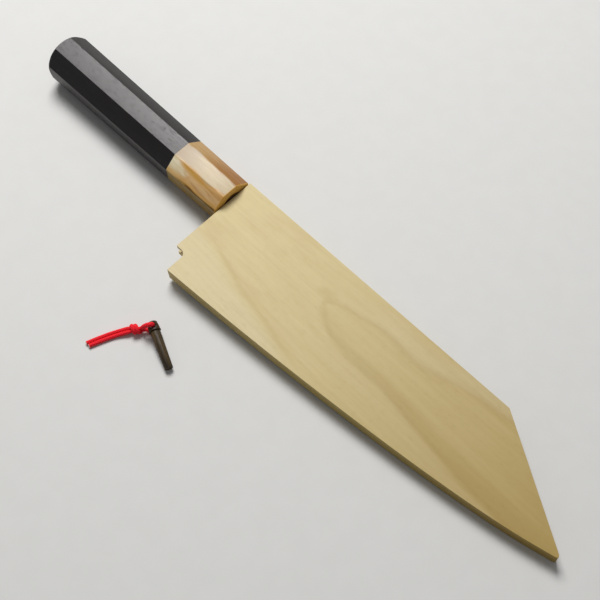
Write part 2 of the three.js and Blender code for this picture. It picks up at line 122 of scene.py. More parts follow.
# %% A socket that takes part in sums
class Signal:
    """An output socket of a material's nodes, which can be used in sums."""

    def __init__(self, tree, socket=None):
        self.tree = tree
        self.socket = socket

    def feed(self, target, value):
        if isinstance(value, Signal):
            self.tree.links.new(value.socket, target)
        else:
            target.default_value = value

    def add(self, kind, settings=None, inputs=None, output=0):
        node = self.tree.nodes.new("ShaderNode" + kind)
        for name, value in (settings or {}).items():
            setattr(node, name, value)
        for name, value in (inputs or {}).items():
            self.feed(node.inputs[name], value)
        return Signal(self.tree, node.outputs[output])

    def math(self, operation, *values):
        return self.add("Math", {"operation": operation}, dict(enumerate(values)))

    def __add__(self, other):
        return self.math("ADD", self, other)

    def __radd__(self, other):
        return self.math("ADD", other, self)

    def __sub__(self, other):
        return self.math("SUBTRACT", self, other)

    def __rsub__(self, other):
        return self.math("SUBTRACT", other, self)

    def __mul__(self, other):
        return self.math("MULTIPLY", self, other)

    def __rmul__(self, other):
        return self.math("MULTIPLY", other, self)

    def __truediv__(self, other):
        return self.math("DIVIDE", self, other)

    def __pow__(self, other):
        return self.math("POWER", self, other)

    def __neg__(self):
        return self.math("MULTIPLY", self, -1)

    def __abs__(self):
        return self.math("ABSOLUTE", self)

    def sine(self):
        return self.math("SINE", self)

    def cosine(self):
        return self.math("COSINE", self)

    def step(self, low, high):
        """0 below low, 1 above high, and a smooth rise between them."""
        settings = {"interpolation_type": "SMOOTHSTEP"}
        return self.add("MapRange", settings, {"Value": self, "From Min": low, "From Max": high})

    def band(self, centre, full, gone):
        """1 up to a distance from a centre, 0 from a larger distance on, and smooth between them."""
        return 1 - abs(self - centre).step(full, gone)

    def mix(self, low, high):
        """A colour between two colours, by this value."""
        return self.add("Mix", {"data_type": "RGBA"}, {0: self, 6: low, 7: high}, output=2)

    def stretched(self, scale, place=(0, 0, 0)):
        return self.add("Mapping", None, {"Vector": self, "Scale": scale, "Location": place})

    def noise(self, detail=2, roughness=0.5, distortion=0):
        inputs = {"Vector": self, "Scale": 1, "Detail": detail}
        inputs.update({"Roughness": roughness, "Distortion": distortion})
        return self.add("TexNoise", None, inputs)

    def parts(self):
        split = self.add("SeparateXYZ", None, {0: self})
        return [Signal(self.tree, output) for output in split.socket.node.outputs]


def tint(code):
    """A colour written as in a picture editor, in the linear values that nodes take."""
    shares = [int(code[place:place + 2], 16) / 255 for place in (1, 3, 5)]
    linear = (share / 12.92 if share < 0.04045 else ((share + 0.055) / 1.055) ** 2.4 for share in shares)
    return (*linear, 1)


print("a mid grey is", round(tint("#808080")[0], 3), "in linear light")

# %% [markdown]
# ## Starting a finish
#
# Every finish has one shader. Its constant values are set on the shader's own sockets, and only colour,
# roughness and the bump vary over the surface. On the part, patterns are in millimetres: along the knife
# for all that belongs to knife and sheath, along the pin for the pin, and along the cord for the cord.


# %% Starting a finish
def new_finish(name, **constants):
    material = bpy.data.materials.new(name)
    material.use_nodes = True
    shader = material.node_tree.nodes["Principled BSDF"]
    for socket, value in constants.items():
        shader.inputs[socket.replace("_", " ")].default_value = value
    return material, shader, Signal(material.node_tree)


def along_piece(start, zero, turn):
    """Object coordinates, centred and turned with a piece, in millimetres."""
    place = start.add("TexCoord", None, None, output="Object")
    inputs = {"Vector": place, "Location": zero, "Rotation": turn.to_euler(), "Scale": (MM, MM, MM)}
    return start.add("Mapping", {"vector_type": "TEXTURE"}, inputs)


def rough_and_bump(start, shader, colour, roughness, height, depth):
    """Colour, roughness, and a bump of a depth in millimetres, to the shader."""
    start.feed(shader.inputs["Base Color"], colour)
    start.feed(shader.inputs["Roughness"], roughness)
    bump = start.add("Bump", None, {"Height": height, "Distance": depth * MM, "Strength": 1})
    start.feed(shader.inputs["Normal"], bump)


print("finishes read millimetres along the knife, the pin or the cord")

# %% [markdown]
# ## The red cord
#
# A soft braided cord goes through the pin's eye, both strands are knotted close to it, and two short ends
# lie on the table. It could be a curve with a round bevel, but a braid has a relief that catches the
# light. So each strand is a grid of faces that is wrapped round its route: the grid's own texture map
# then runs round and along the cord, and the relief of the braid is in the mesh. The routes are those of
# the CAD cord, measured in millimetres from the spot on the table under the front of the ferrule. Each
# strand enters and leaves the knot at two of its corners.

# %% Routes of the two strands
UPPER_STRAND = [
    (24.18, -74.53, 4.95), (24.18, -74.53, 6.2), (24.17, -74.56, 7.25), (24.1, -74.77, 8),
    (23.94, -75.24, 8.4), (23.61, -75.92, 8.5), (22.88, -76.77, 8.1), (22.07, -77.41, 7.15),
    (21.42, -77.83, 6.1), (20.82, -78.12, 5.1), (20.26, -78.41, 4.2), (19.1, -79.75, 3.65),
    (17.6, -81.05, 3.5), (16, -82.2, 2.9), (14.73, -83.18, 2.1), (13.06, -85.78, 1.5),
    (11.53, -88.53, 1.15), (10.08, -91.78, 1.05), (8.86, -95.02, 1.05), (7.81, -97.99, 1.05),
    (6.86, -100.84, 1.05), (6.28, -102.6, 1.05),
]
UPPER_KNOT_CORNERS = (10, 14)
LOWER_STRAND = [
    (24.18, -74.53, 4.95), (24.18, -74.53, 3.6), (24.18, -74.59, 2.6), (24.09, -74.9, 1.7),
    (23.84, -75.5, 1.15), (23.4, -76.05, 1.05), (22.55, -76.4, 1.35), (21.8, -76.85, 1.8),
    (21.2, -77.45, 2.05), (20.65, -78.2, 2.05), (19.4, -79.7, 2.1), (17.95, -81.4, 1.95), (17, -83, 2),
    (16.38, -84.31, 2.1), (14.75, -86.85, 1.5), (13.31, -89.44, 1.15), (11.93, -92.54, 1.05),
    (10.74, -95.7, 1.05), (9.7, -98.63, 1.05), (8.76, -101.45, 1.05), (8.36, -102.65, 1.05),
]
LOWER_KNOT_CORNERS = (9, 13)
CORD_DIAMETER = 2
CURVE_STEPS = 24
RING_SPACING = 0.15


def smooth_route(corners):
    """Points at even steps on a smooth curve through the corners, and the curve's length."""
    corners = [Vector(corner) for corner in corners]
    ends = [2 * corners[0] - corners[1], *corners, 2 * corners[-1] - corners[-2]]
    fine = []
    for before, start, end, after in zip(ends, ends[1:], ends[2:], ends[3:]):
        for k in range(CURVE_STEPS):
            share = k / CURVE_STEPS
            bend = 2 * before - 5 * start + 4 * end - after
            twist = 3 * start - before - 3 * end + after
            fine.append(start + (end - before) * share / 2 + bend * share**2 / 2 + twist * share**3 / 2)
    fine.append(corners[-1])
    runs = [0]
    for start, end in zip(fine, fine[1:]):
        runs.append(runs[-1] + (end - start).length)
    steps = round(runs[-1] / RING_SPACING)
    points = []
    k = 0
    for step in range(steps):
        goal = runs[-1] * step / steps
        while runs[k + 1] < goal:
            k += 1
        share = (goal - runs[k]) / max(runs[k + 1] - runs[k], 1e-9)
        points.append(fine[k].lerp(fine[k + 1], share))
    points.append(fine[-1])
    return points, runs[-1]


upper_route, upper_length = smooth_route(UPPER_STRAND)
lower_route, lower_length = smooth_route(LOWER_STRAND)
print(f"strands of {upper_length:.1f} and {lower_length:.1f} mm")

# %% [markdown]
# The grid is wrapped ring by ring. Each ring's direction is carried on from the ring before it, so that
# the braid doesn't twist. The cut ends are rounded a little, and how near a point lies to its end is kept
# on the mesh, because the cord's pale core shows there.

# %% A braided strand from a grid
PLAITS = 5
PLAIT_PITCH = 1.5
PLAIT_RELIEF = 0.08
FACES_AROUND = 40
ROUNDED_END = 0.5
ROUNDED_SHARE = 0.35
CUT_DEPTH = 0.6
SEAM_GAP = 1e-7


def braid(turn, along):
    """Height of the braid, from 0 to 1, at a share of a turn round the cord and a length along it."""
    plaits = math.cos(math.tau * PLAITS * turn) + math.cos(math.tau * along / PLAIT_PITCH)
    return math.sqrt(abs(plaits) / 2)


def carried_rings(route):
    """The two directions across the route at each of its points."""
    rings = []
    tangent = (route[1] - route[0]).normalized()
    across = tangent.orthogonal().normalized()
    for k in range(len(route)):
        ahead = (route[min(k + 1, len(route) - 1)] - route[max(k - 1, 0)]).normalized()
        across = tangent.rotation_difference(ahead) @ across
        tangent = ahead
        rings.append((across.copy(), tangent.cross(across)))
    return rings


def braided_strand(route, length, radius_at):
    bm = bmesh.new()
    uv = bm.loops.layers.uv.new("round_and_along")
    cut = bm.verts.layers.float.new("cut_end")
    steps = len(route) - 1
    bmesh.ops.create_grid(bm, x_segments=FACES_AROUND, y_segments=steps, size=0.5, calc_uvs=True)
    rings = carried_rings(route)
    for vert in bm.verts:
        turn = vert.co.x + 0.5
        ring = round((vert.co.y + 0.5) * steps)
        along = length * ring / steps
        to_end = length - along
        radius = radius_at(along) * (1 - PLAIT_RELIEF + PLAIT_RELIEF * braid(turn, along))
        radius *= 1 - ROUNDED_SHARE * max(0, 1 - to_end / ROUNDED_END) ** 2
        across, over = rings[ring]
        side = across * math.cos(math.tau * turn) + over * math.sin(math.tau * turn)
        vert[cut] = max(0, 1 - to_end / CUT_DEPTH)
        vert.co = table_zero + (route[ring] + side * radius) * MM
    for face in bm.faces:
        face.smooth = True
        for loop in face.loops:
            loop[uv].uv.y *= length
    bmesh.ops.remove_doubles(bm, verts=bm.verts, dist=SEAM_GAP)
    caps = bmesh.ops.holes_fill(bm, edges=bm.edges, sides=0)["faces"]
    for face in caps:
        for loop in face.loops:
            loop[uv].uv = (0.5, length)
    bmesh.ops.recalc_face_normals(bm, faces=bm.faces)
    return bm


print(f"braid of {2 * PLAITS} plaits around, repeating every {PLAIT_PITCH} mm")

# %% [markdown]
# A braid is squeezed thin inside a knot and opens where it is slack. So a strand has no single radius: it
# is thinner through the knot, and the upper one is fuller in the slack loop between the eye and the knot.
# The lower one runs under the loop, close to the table, and keeps its thickness there.

# %% How thick a strand is along its way
KNOT_SQUEEZE = 0.26
KNOT_EASE = 1.5
LOOP_START = 2.5
LOOP_EASE = 2
LOOP_FULLNESS = 0.24


def within(along, start, end, rise, fall):
    """0 outside a stretch of the cord, 1 inside it, with a slope at either end."""
    return min(max((along - start) / rise, 0), max((end - along) / fall, 0), 1)


def strand_radius(knot_start, knot_end, fullness):
    """A strand's radius along it, fuller where the loop is slack and thinner inside the knot."""

    def radius(along):
        inside = within(along, knot_start, knot_end, KNOT_EASE, KNOT_EASE)
        slack = within(along, LOOP_START, knot_start, LOOP_EASE, KNOT_EASE)
        return CORD_DIAMETER / 2 * (1 - KNOT_SQUEEZE * inside + fullness * slack)

    return radius


def along_at(route, length, corner):
    """How far along a route it comes nearest to a corner."""
    nearest = min(range(len(route)), key=lambda k: (route[k] - Vector(corner)).length)
    return length * nearest / (len(route) - 1)


upper_knot = [along_at(upper_route, upper_length, UPPER_STRAND[k]) for k in UPPER_KNOT_CORNERS]
lower_knot = [along_at(lower_route, lower_length, LOWER_STRAND[k]) for k in LOWER_KNOT_CORNERS]
print("the knot holds the upper strand from {:.1f} to {:.1f} mm".format(*upper_knot))

# %% [markdown]
# A new piece goes into the scene in the same way each time: the mesh is linked at the origin, rides on a
# CAD body, and takes the place of the CAD nodes it stands for.


# %% The two strands
def place_piece(bm, name, body, slot, *replaced):
    mesh = bpy.data.meshes.new(name)
    bm.to_mesh(mesh)
    bm.free()
    piece = bpy.data.objects.new(name, mesh)
    scene.collection.objects.link(piece)
    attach(piece, body)
    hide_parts(*replaced)
    print(f"{name}: {len(mesh.polygons)} faces")
    return piece


upper_mesh = braided_strand(upper_route, upper_length, strand_radius(*upper_knot, LOOP_FULLNESS))
lower_mesh = braided_strand(lower_route, lower_length, strand_radius(*lower_knot, 0))
upper_strand = place_piece(upper_mesh, "upper_strand", "pin", "red_cord", "cord_loop", "cord_tail_a")
lower_strand = place_piece(lower_mesh, "lower_strand", "pin", "red_cord", "cord_tail_b")

# %% [markdown]
# ## The knot
#
# Both strands are tied together in one overhand knot. What shows is the doubled cord, laid once round
# itself in a steep band of two ridges. A true knot would have to be drawn point by point, and most of it
# would be hidden. Two helices of the same braided cord give that band, side by side, with their ends
# tucked inwards.

# %% The knot
KNOT_PLACE = Vector((17.76, -81.14, 2.8))
KNOT_HEADING = math.radians(50.5)
KNOT_TURNS = 1.2
KNOT_LEAD = 3.3
KNOT_RADIUS = 1.62
KNOT_UNEVEN = 0.08
FIRST_TURN = 0.66
TUCK = 0.5
TUCK_SHARE = 0.14
WRAP_RADIUS = 1.06
WRAP_OFFSETS = (-0.85, 0.95)
WRAP_STEPS = 24
knot_along = Vector((math.cos(KNOT_HEADING), math.sin(KNOT_HEADING), 0))
knot_across = Vector((-math.sin(KNOT_HEADING), math.cos(KNOT_HEADING), 0))


def wrap_corner(share, offset):
    """A point of one wrap, at a share of its length, with the whole wrap moved along the knot."""
    angle = math.tau * (share * KNOT_TURNS + FIRST_TURN)
    tuck = 1 - TUCK * max(0, 1 - min(share, 1 - share) / TUCK_SHARE) ** 1.5
    run = (share - 0.5) * KNOT_TURNS * KNOT_LEAD + offset
    slack = 1 + KNOT_UNEVEN * math.sin(3 * angle + offset)
    sides = knot_across * (KNOT_RADIUS * tuck * slack * math.cos(angle))
    height = Vector((0, 0, KNOT_RADIUS * tuck * math.sin(angle)))
    return KNOT_PLACE + knot_along * run + sides + height


knot_mesh = bmesh.new()
for offset in WRAP_OFFSETS:
    wrap_corners = [wrap_corner(k / WRAP_STEPS, offset) for k in range(WRAP_STEPS + 1)]
    wrap_route, wrap_length = smooth_route(wrap_corners)
    wrap_mesh = braided_strand(wrap_route, wrap_length, lambda along: WRAP_RADIUS)
    wrap = bpy.data.meshes.new("wrap")
    wrap_mesh.to_mesh(wrap)
    wrap_mesh.free()
    knot_mesh.from_mesh(wrap)
    bpy.data.meshes.remove(wrap)
knot = place_piece(knot_mesh, "wound_knot", "pin", "red_cord", "cord_knot")

# %% [markdown]
# Each strand gets a path through a part of its points, which is enough for it, and its length is printed.
# Both start in the pin's eye and end bare. The knot goes with the upper one.

PATH_STRIDE = 4
eye = table_zero + Vector(UPPER_STRAND[0]) * MM
for strand, route, length, extra in (
    (upper_strand, upper_route, upper_length, [knot]),
    (lower_strand, lower_route, lower_length, []),
):
    path = [table_zero + point * MM for point in route[:-2:PATH_STRIDE] + [route[-1]]]
    length * MM
    print(f"{strand.name} declared with {length:.1f} mm")

# %% [markdown]
# The red is strong and slightly cold. The tops of the plaits are painted brighter, a painted highlight,
# the hollows between them are painted deep red, a painted shade, and fine fibres run along the cord. Loose
# fuzz is painted pinker, partly paler loose fibres and partly a painted sheen. The pattern repeats the
# formula of the mesh, on the same texture map, so that colour and relief agree. The cut ends show the pale
# core.

# %% Finish of the cord
cord_finish, shader, start = new_finish(
    "red_cord",
    Sheen_Weight=0.25,
    Sheen_Roughness=0.4,
    Sheen_Tint=tint("#FF7078"),
    Specular_IOR_Level=0.3,
)
chart = start.add("UVMap", {"uv_map": "round_and_along"})
turn, along, _ = chart.parts()
plait_around = (turn * (math.tau * PLAITS)).cosine()
plait_along = (along * (math.tau / PLAIT_PITCH)).cosine()
plait = (abs(plait_around + plait_along) / 2) ** 0.5
fibre = chart.stretched((60, 1.4, 1)).noise(detail=2)
fuzz_and_sheen = chart.stretched((14, 3, 1)).noise(detail=3)
cut_end = start.add("Attribute", {"attribute_name": "cut_end"}, None, output="Fac")
# painted highlight on the tops of the plaits, painted shade in the hollows between them
red = (plait * 0.75 + fibre * 0.35).step(0.15, 0.85).mix(tint("#C2041A"), tint("#FF1C2C"))
# pinker fuzz: partly paler loose fibres, partly a painted sheen
red = (fuzz_and_sheen.step(0.5, 0.8) * 0.3).mix(red, tint("#F0404C"))
red = cut_end.step(0.35, 0.75).mix(red, tint("#E6C9BE"))
rough_and_bump(start, shader, red, 0.62 + fuzz_and_sheen * 0.25, plait * 0.5 + fibre * 0.5, 0.12)
for piece in (upper_strand, lower_strand, knot):
    piece.data.materials.append(cord_finish)
print(cord_finish.name, "on 3 pieces")

# %% [markdown]
# ## Handle and ferrule
#
# Both are octagons that narrow to the front, ground flat and with their arrises just broken. The butt is
# rounded, so every facet ends in an arc there. The CAD solids have these forms already. A copy of each
# gets its loose triangles joined, its flat faces made whole and a small bevel along the arrises, because
# it is the thin bright line along an edge that makes a piece look made.

# %% A clean copy of a CAD node
MERGE_GAP = 1e-6
FLAT_TURN = math.radians(0.12)


def clean_copy(node):
    bm = bmesh.new()
    bm.from_mesh(nodes[node].data)
    bmesh.ops.remove_doubles(bm, verts=bm.verts, dist=MERGE_GAP)
    bmesh.ops.dissolve_limit(bm, angle_limit=FLAT_TURN, verts=bm.verts, edges=bm.edges)
    return bm


def break_edges(bm, edges, width, segments=3):
    bmesh.ops.bevel(
        bm,
        geom=edges,
        affect="EDGES",
        offset=width * MM,
        offset_type="OFFSET",
        segments=segments,
        profile=0.5,
        material=-1,
        clamp_overlap=True,
    )


handle_mesh = clean_copy("handle_body")
ferrule_mesh = clean_copy("handle_ferrule")
print(f"handle and ferrule start with {len(handle_mesh.faces)} and {len(ferrule_mesh.faces)} faces")

# %% [markdown]
# The edges to break are found by where they lie and how they run: outside the bore, at a clear angle
# between two facets, and either along the knife, as an arris, or across it, as a rim. The bevel leaves a
# few slivers on the handle, and these are dissolved.

# %% Handle and ferrule
OUTSIDE = 9.5
LENGTHWISE = 0.95
CROSSWISE = 0.9
FACET_TURN = math.radians(15)
CRISP_TURN = math.radians(24)
SLIVER = 2e-6
HANDLE_ARRIS = 0.3
FERRULE_ARRIS = 0.25
FERRULE_RIM = 0.12


def facet_edges(bm):
    """Each edge between two outer facets, and how much of it runs along the knife, from 0 to 1."""
    found = []
    for edge in bm.edges:
        run = (edge.verts[1].co - edge.verts[0].co).normalized()
        places = [in_knife(vert.co) for vert in edge.verts]
        outside = min(math.hypot(place.y, place.z) for place in places) > OUTSIDE
        if outside and edge.calc_face_angle(0) > FACET_TURN:
            found.append((edge, abs(run.dot(tipward))))
    return found


def arrises(bm):
    return [edge for edge, share in facet_edges(bm) if share > LENGTHWISE]


def rims(bm):
    return [edge for edge, share in facet_edges(bm) if share < CROSSWISE]


def crisp_edges(bm):
    """Smooth shading, except across edges at a clear angle."""
    for face in bm.faces:
        face.smooth = True
    for edge in bm.edges:
        edge.smooth = edge.calc_face_angle(0) < CRISP_TURN


break_edges(handle_mesh, arrises(handle_mesh), HANDLE_ARRIS)
bmesh.ops.dissolve_degenerate(handle_mesh, dist=SLIVER, edges=handle_mesh.edges)
crisp_edges(handle_mesh)
handle = place_piece(handle_mesh, "octagonal_handle", "knife", "ebony", "handle_body")

break_edges(ferrule_mesh, arrises(ferrule_mesh), FERRULE_ARRIS)
break_edges(ferrule_mesh, rims(ferrule_mesh), FERRULE_RIM, segments=2)
crisp_edges(ferrule_mesh)
ferrule = place_piece(ferrule_mesh, "horn_ferrule", "knife", "horn", "handle_ferrule")

# %% [markdown]
# The handle is a black wood, close in grain and rubbed with oil. It is nearly black where it doesn't
# mirror the light and grey where it does, so most of its look is in the roughness, which follows fine
# pores and fibres along the grain. Long streaks change the colour from black to a very dark brown.

# %% Finish of the handle
WARM_SHEEN = (1, 0.965, 0.96, 1)
ebony_finish, shader, start = new_finish("oiled_ebony", Specular_IOR_Level=0.53, Specular_Tint=WARM_SHEEN)
spot = along_piece(start, knife_zero, knife_turn)
streak = spot.stretched((0.02, 0.55, 0.55)).noise(detail=4, distortion=0.6)
fibre = spot.stretched((0.07, 5, 5)).noise(detail=3, roughness=0.6)
pore = spot.stretched((0.3, 6, 6), (3, 0, 0)).noise(detail=1).step(0.63, 0.72)
cloud = spot.stretched((0.03, 0.09, 0.09)).noise(detail=2)
dark = (streak * 0.7 + fibre * 0.3).step(0.35, 0.7).mix(tint("#050404"), tint("#100C0B"))
dark = (pore * 0.5).mix(dark, tint("#060505"))
rough = 0.35 + cloud * 0.05 + fibre * 0.06 + pore * 0.08
rough_and_bump(start, shader, dark, rough, fibre * 0.4 - pore, 0.02)
handle.data.materials.append(ebony_finish)
print(ebony_finish.name, "on the handle")

# %% [markdown]
# The ferrule is blond horn, polished and slightly see-through. Its layers run along the handle, and an
# image of real horn would be the quick way. Here they are set across the knife by formula and bent by a
# slow noise, so that they don't stop at the facets: honey on the upper facet, brown on the spine side,
# and on the edge side a cream patch that runs out into amber towards the front.

# %% The horn's broad layers
horn_finish, shader, start = new_finish(
    "blond_horn",
    Specular_IOR_Level=0.35,
    Subsurface_Weight=0.1,
    Subsurface_Scale=3 * MM,
    Subsurface_Radius=(1.0, 0.6, 0.3),
)
spot = along_piece(start, knife_zero, knife_turn)
x, y, z = spot.parts()
drift = spot.stretched((0.05, 0.1, 0.1), (4, 2, 0)).noise(detail=2, distortion=0.8) - 0.5
layer = spot.stretched((0.04, 0.24, 0.24), (0, 1, 5)).noise(detail=3, roughness=0.55, distortion=1.6)
across = y + drift * 6
edge_side = (-across).step(3.8, 5.4)
spine_side = across.step(3.9, 5.8)
frontward = (x + y * 0.9 + drift * 30 + 7.5).step(-34.5, -26)
handleward = (-(x + drift * 30 + 26)).step(-6, 8)
honey = layer.step(0.2, 0.85).mix(tint("#B9A37D"), tint("#C8B48D"))
honey = handleward.mix(honey, tint("#BBA88F"))
amber = layer.step(0.35, 0.65).mix(tint("#BF8D53"), tint("#DBB37C"))
cream = layer.step(0.3, 0.7).mix(tint("#D6C392"), tint("#EFE6CE"))
brown = (x + drift * 20).step(-34, -4).mix(tint("#AE8B56"), tint("#9A6A34"))
horn = edge_side.mix(honey, frontward.mix(cream, amber))
horn = spine_side.mix(horn, brown)
print("horn laid in honey, brown, cream and amber")

# %% [markdown]
# Narrow layers make the marbling. On the edge side an ochre one follows the upper arris and fades to the
# front, a darker one follows the lower arris, and a golden one takes up the lower part of the facet. A
# pale streak and fine threads run between them. The side facet is painted olive, a painted shade where it
# faces down and away from the lamp. The thin rim at the front is painted a bright gold, a painted glow for
# light that comes through the horn.

# %% Narrow layers of the horn, with painted shade and painted glow
UPPER_ARRIS = -5.9
LOWER_ARRIS = -11.65
PALE_STREAK = -8.4
ochre = (y + drift * 2).band(UPPER_ARRIS, 0.5, 1.6) * (x + drift * 20).step(-36, -28)
ochre = ochre * (1 - x.step(-18, -7) * 0.6)
pale_streak = across.band(PALE_STREAK, 0.2, 1.6) * layer.step(0.35, 0.6) * frontward
low_gold = (-y - drift * 3).step(9.2, 10.8)
dark_layer = (y + drift * 1.5).band(LOWER_ARRIS, 0.25, 0.75) * (x + drift * 40).step(-32, -20)
# painted shade: the edge side below the top, facing down and away from the lamp, painted olive
painted_side_shade = (-z).step(-5, -3.8) * edge_side
# painted glow: the thin front rim is painted bright gold for light that comes through the horn
painted_rim_glow = x.step(-0.75, -0.35)
thread = spot.stretched((0.05, 0.9, 0.9)).noise(detail=2, distortion=0.8)
for mask, share, colour in (
    (ochre, 0.8, "#C69640"),
    (pale_streak, 0.15, "#D9C49A"),
    (low_gold, 0.75, "#D0A050"),
    (dark_layer, 0.9, "#4E2A0C"),
    (painted_side_shade, 0.9, "#8A6C14"),
    (painted_rim_glow, 0.85, "#DDAA48"),
    (thread.step(0.5, 0.75), 0.06, "#8A5E30"),
    (thread.step(0.5, 0.25), 0.1, "#F1E6CC"),
):
    horn = (mask * share).mix(horn, tint(colour))
rough_and_bump(start, shader, horn, 0.34 + thread * 0.08, layer + thread * 0.3, 0.012)
ferrule.data.materials.append(horn_finish)
print(horn_finish.name, "on the ferrule")

# %% [markdown]
# ## The sheath
#
# Two face boards are glued to a middle layer of strips, and the joints show as hairlines along the wall.
# The boards are copied from the CAD nodes and get a soft edge on their outer faces only, so that the
# glued edges stay tight. Their faces and their walls are told apart: the walls get a darker, more olive cut
# of the wood, partly another cut and partly painted shade on sides that face away from the lamp. The strips
# between them keep their CAD meshes.

# %% The sheath's boards
BOARD_EDGE = 0.55
MOUTH_REACH = 1.2
SQUARE_TURN = math.radians(60)
WALL_LEAN = 0.5
UPRIGHT_LEAN = 0.2


def outer_rim(bm, side):
    """Edges round a board's outer face, which points up or down, but not those at its mouth."""
    level = max(side * in_knife(vert.co).z for vert in bm.verts)
    found = []
    for edge in bm.edges:
        places = [in_knife(vert.co) for vert in edge.verts]
        outer = all(level - side * place.z < SAME_LEVEL for place in places)
        mouth = all(place.x < MOUTH_REACH for place in places)
        if outer and not mouth and edge.calc_face_angle(0) > SQUARE_TURN:
            found.append(edge)
    return found


def face_board(node, name, side):
    bm = clean_copy(node)
    rim = outer_rim(bm, side)
    break_edges(bm, rim, BOARD_EDGE, segments=4)
    for face in bm.faces:
        lean = abs(face.normal.dot(faceward))
        face.smooth = lean < UPRIGHT_LEAN
        # walls get the darker, more olive cut: partly another cut of the wood, partly painted shade
        face.material_index = 1 if lean < WALL_LEAN else 0
    print(f"{name}: {len(rim)} edges softened")
    return place_piece(bm, name, "sheath", "pale_wood", node)


upper_board = face_board("saya_upper_board", "upper_board", 1)
lower_board = face_board("saya_lower_board", "lower_board", -1)

# %% [markdown]
# The board is cut so that one growth ring runs as a long pointed arch along the upper face. In the
# knife's millimetres such an arch is a parabola that lies along the board: its value is 0 on the ring,
# positive outside and negative inside. Its two legs open unevenly, each swells once, and a slow noise
# bends them. Divided by its slope and with its sign turned, the value is about the depth inside the ring
# in millimetres. A picture of a board would blur when looked at closely, and a formula doesn't.

# %% The growth ring on the sheath
ARCH_POINT = 71
ARCH_MIDDLE = -9
LOWER_CURVE = 0.27
UPPER_CURVE = 0.335
SLOPE_GROWTH = 0.36
UPPER_SWELL_PLACE = 130
UPPER_SWELL = 2.8
LOWER_SWELL_PLACE = 98
LOWER_SWELL = 2.2
SWELL_REACH = (4, 26)


def growth_arch(x, y, sway, wander):
    """How far a point lies over the arch's middle, the arch's value, and the depth inside it."""
    rise = y - ARCH_MIDDLE + wander * 3
    rise = rise + x.band(UPPER_SWELL_PLACE, *SWELL_REACH) * rise.step(0, 6) * UPPER_SWELL
    rise = rise + x.band(LOWER_SWELL_PLACE, *SWELL_REACH) * (-rise).step(0, 6) * LOWER_SWELL
    curve = LOWER_CURVE + rise.step(-2, 2) * (UPPER_CURVE - LOWER_CURVE)
    arch = rise * rise * curve - (x - ARCH_POINT) + sway * 34
    slope = (rise * rise * SLOPE_GROWTH + 1) ** 0.5
    return rise, arch, -(arch / slope)


print(f"a growth ring opens {ARCH_POINT} mm past the ferrule")

# %% [markdown]
# What shows of the ring is faint: a soft line on it, a broad shade inside its lower leg that deepens to
# the tip, a narrow one inside its upper leg, and a blotch at its point. Outside, on the spine side, the
# wood is a little paler.

# %% Marks along the ring
BLOTCH_PLACE = 75


def arch_marks(x, rise, depth, sway):
    """The line on the ring, the shades inside it, and the pale wood outside it."""
    line = depth.band(0.6, 0.2, 3)
    lower_shade = depth.step(-1.5, 1.5) * (1 - depth.step(3, 16)) * (-rise).step(-4, 8)
    lower_shade = lower_shade * (0.55 + x.step(105, 145) * 0.45)
    upper_shade = depth.step(0, 1) * (1 - depth.step(1.5, 7)) * rise.step(0, 6)
    blotch = rise.band(4.5, 0.5, 4.5) * (x + sway * 30).band(BLOTCH_PLACE, 1, 8)
    shade = lower_shade * 0.29 + upper_shade * 0.12 + blotch * 0.16
    pale = depth.band(-3, 0.5, 7) * (x + sway * 60).step(75, 110) * (0.3 + rise.step(-2, 4) * 0.7)
    return line, shade, pale


print(f"a blotch lies at the ring's point, at {BLOTCH_PLACE} mm")

# %% [markdown]
# A second ring crosses the corner by the cove and runs out at the edge side. It shows as a thin line,
# with paler wood outside and a slight blush inside.

# %% Marks along the second ring
SIDE_LINE_PLACE = (9, -26.2)
SIDE_LINE_FALL = 0.2
SIDE_LINE_END = 95


def side_marks(x, y, wander):
    """The second ring's line, the pale wood outside it, and the blush inside it."""
    start_x, start_y = SIDE_LINE_PLACE
    inward = y - start_y + (x - start_x) * SIDE_LINE_FALL - (1 - x.step(5, 45)) * 3 + wander * 2
    present = (SIDE_LINE_END - x).step(0, 25)
    line = inward.band(0.6, 0.2, 2.4) * present * x.step(6, 24)
    pale = (1 - inward.step(-5, 0.5)) * present
    blush = inward.step(0, 1) * (1 - inward.step(3, 9)) * present
    return line, pale, blush


print(f"a second ring runs out at {SIDE_LINE_END} mm")
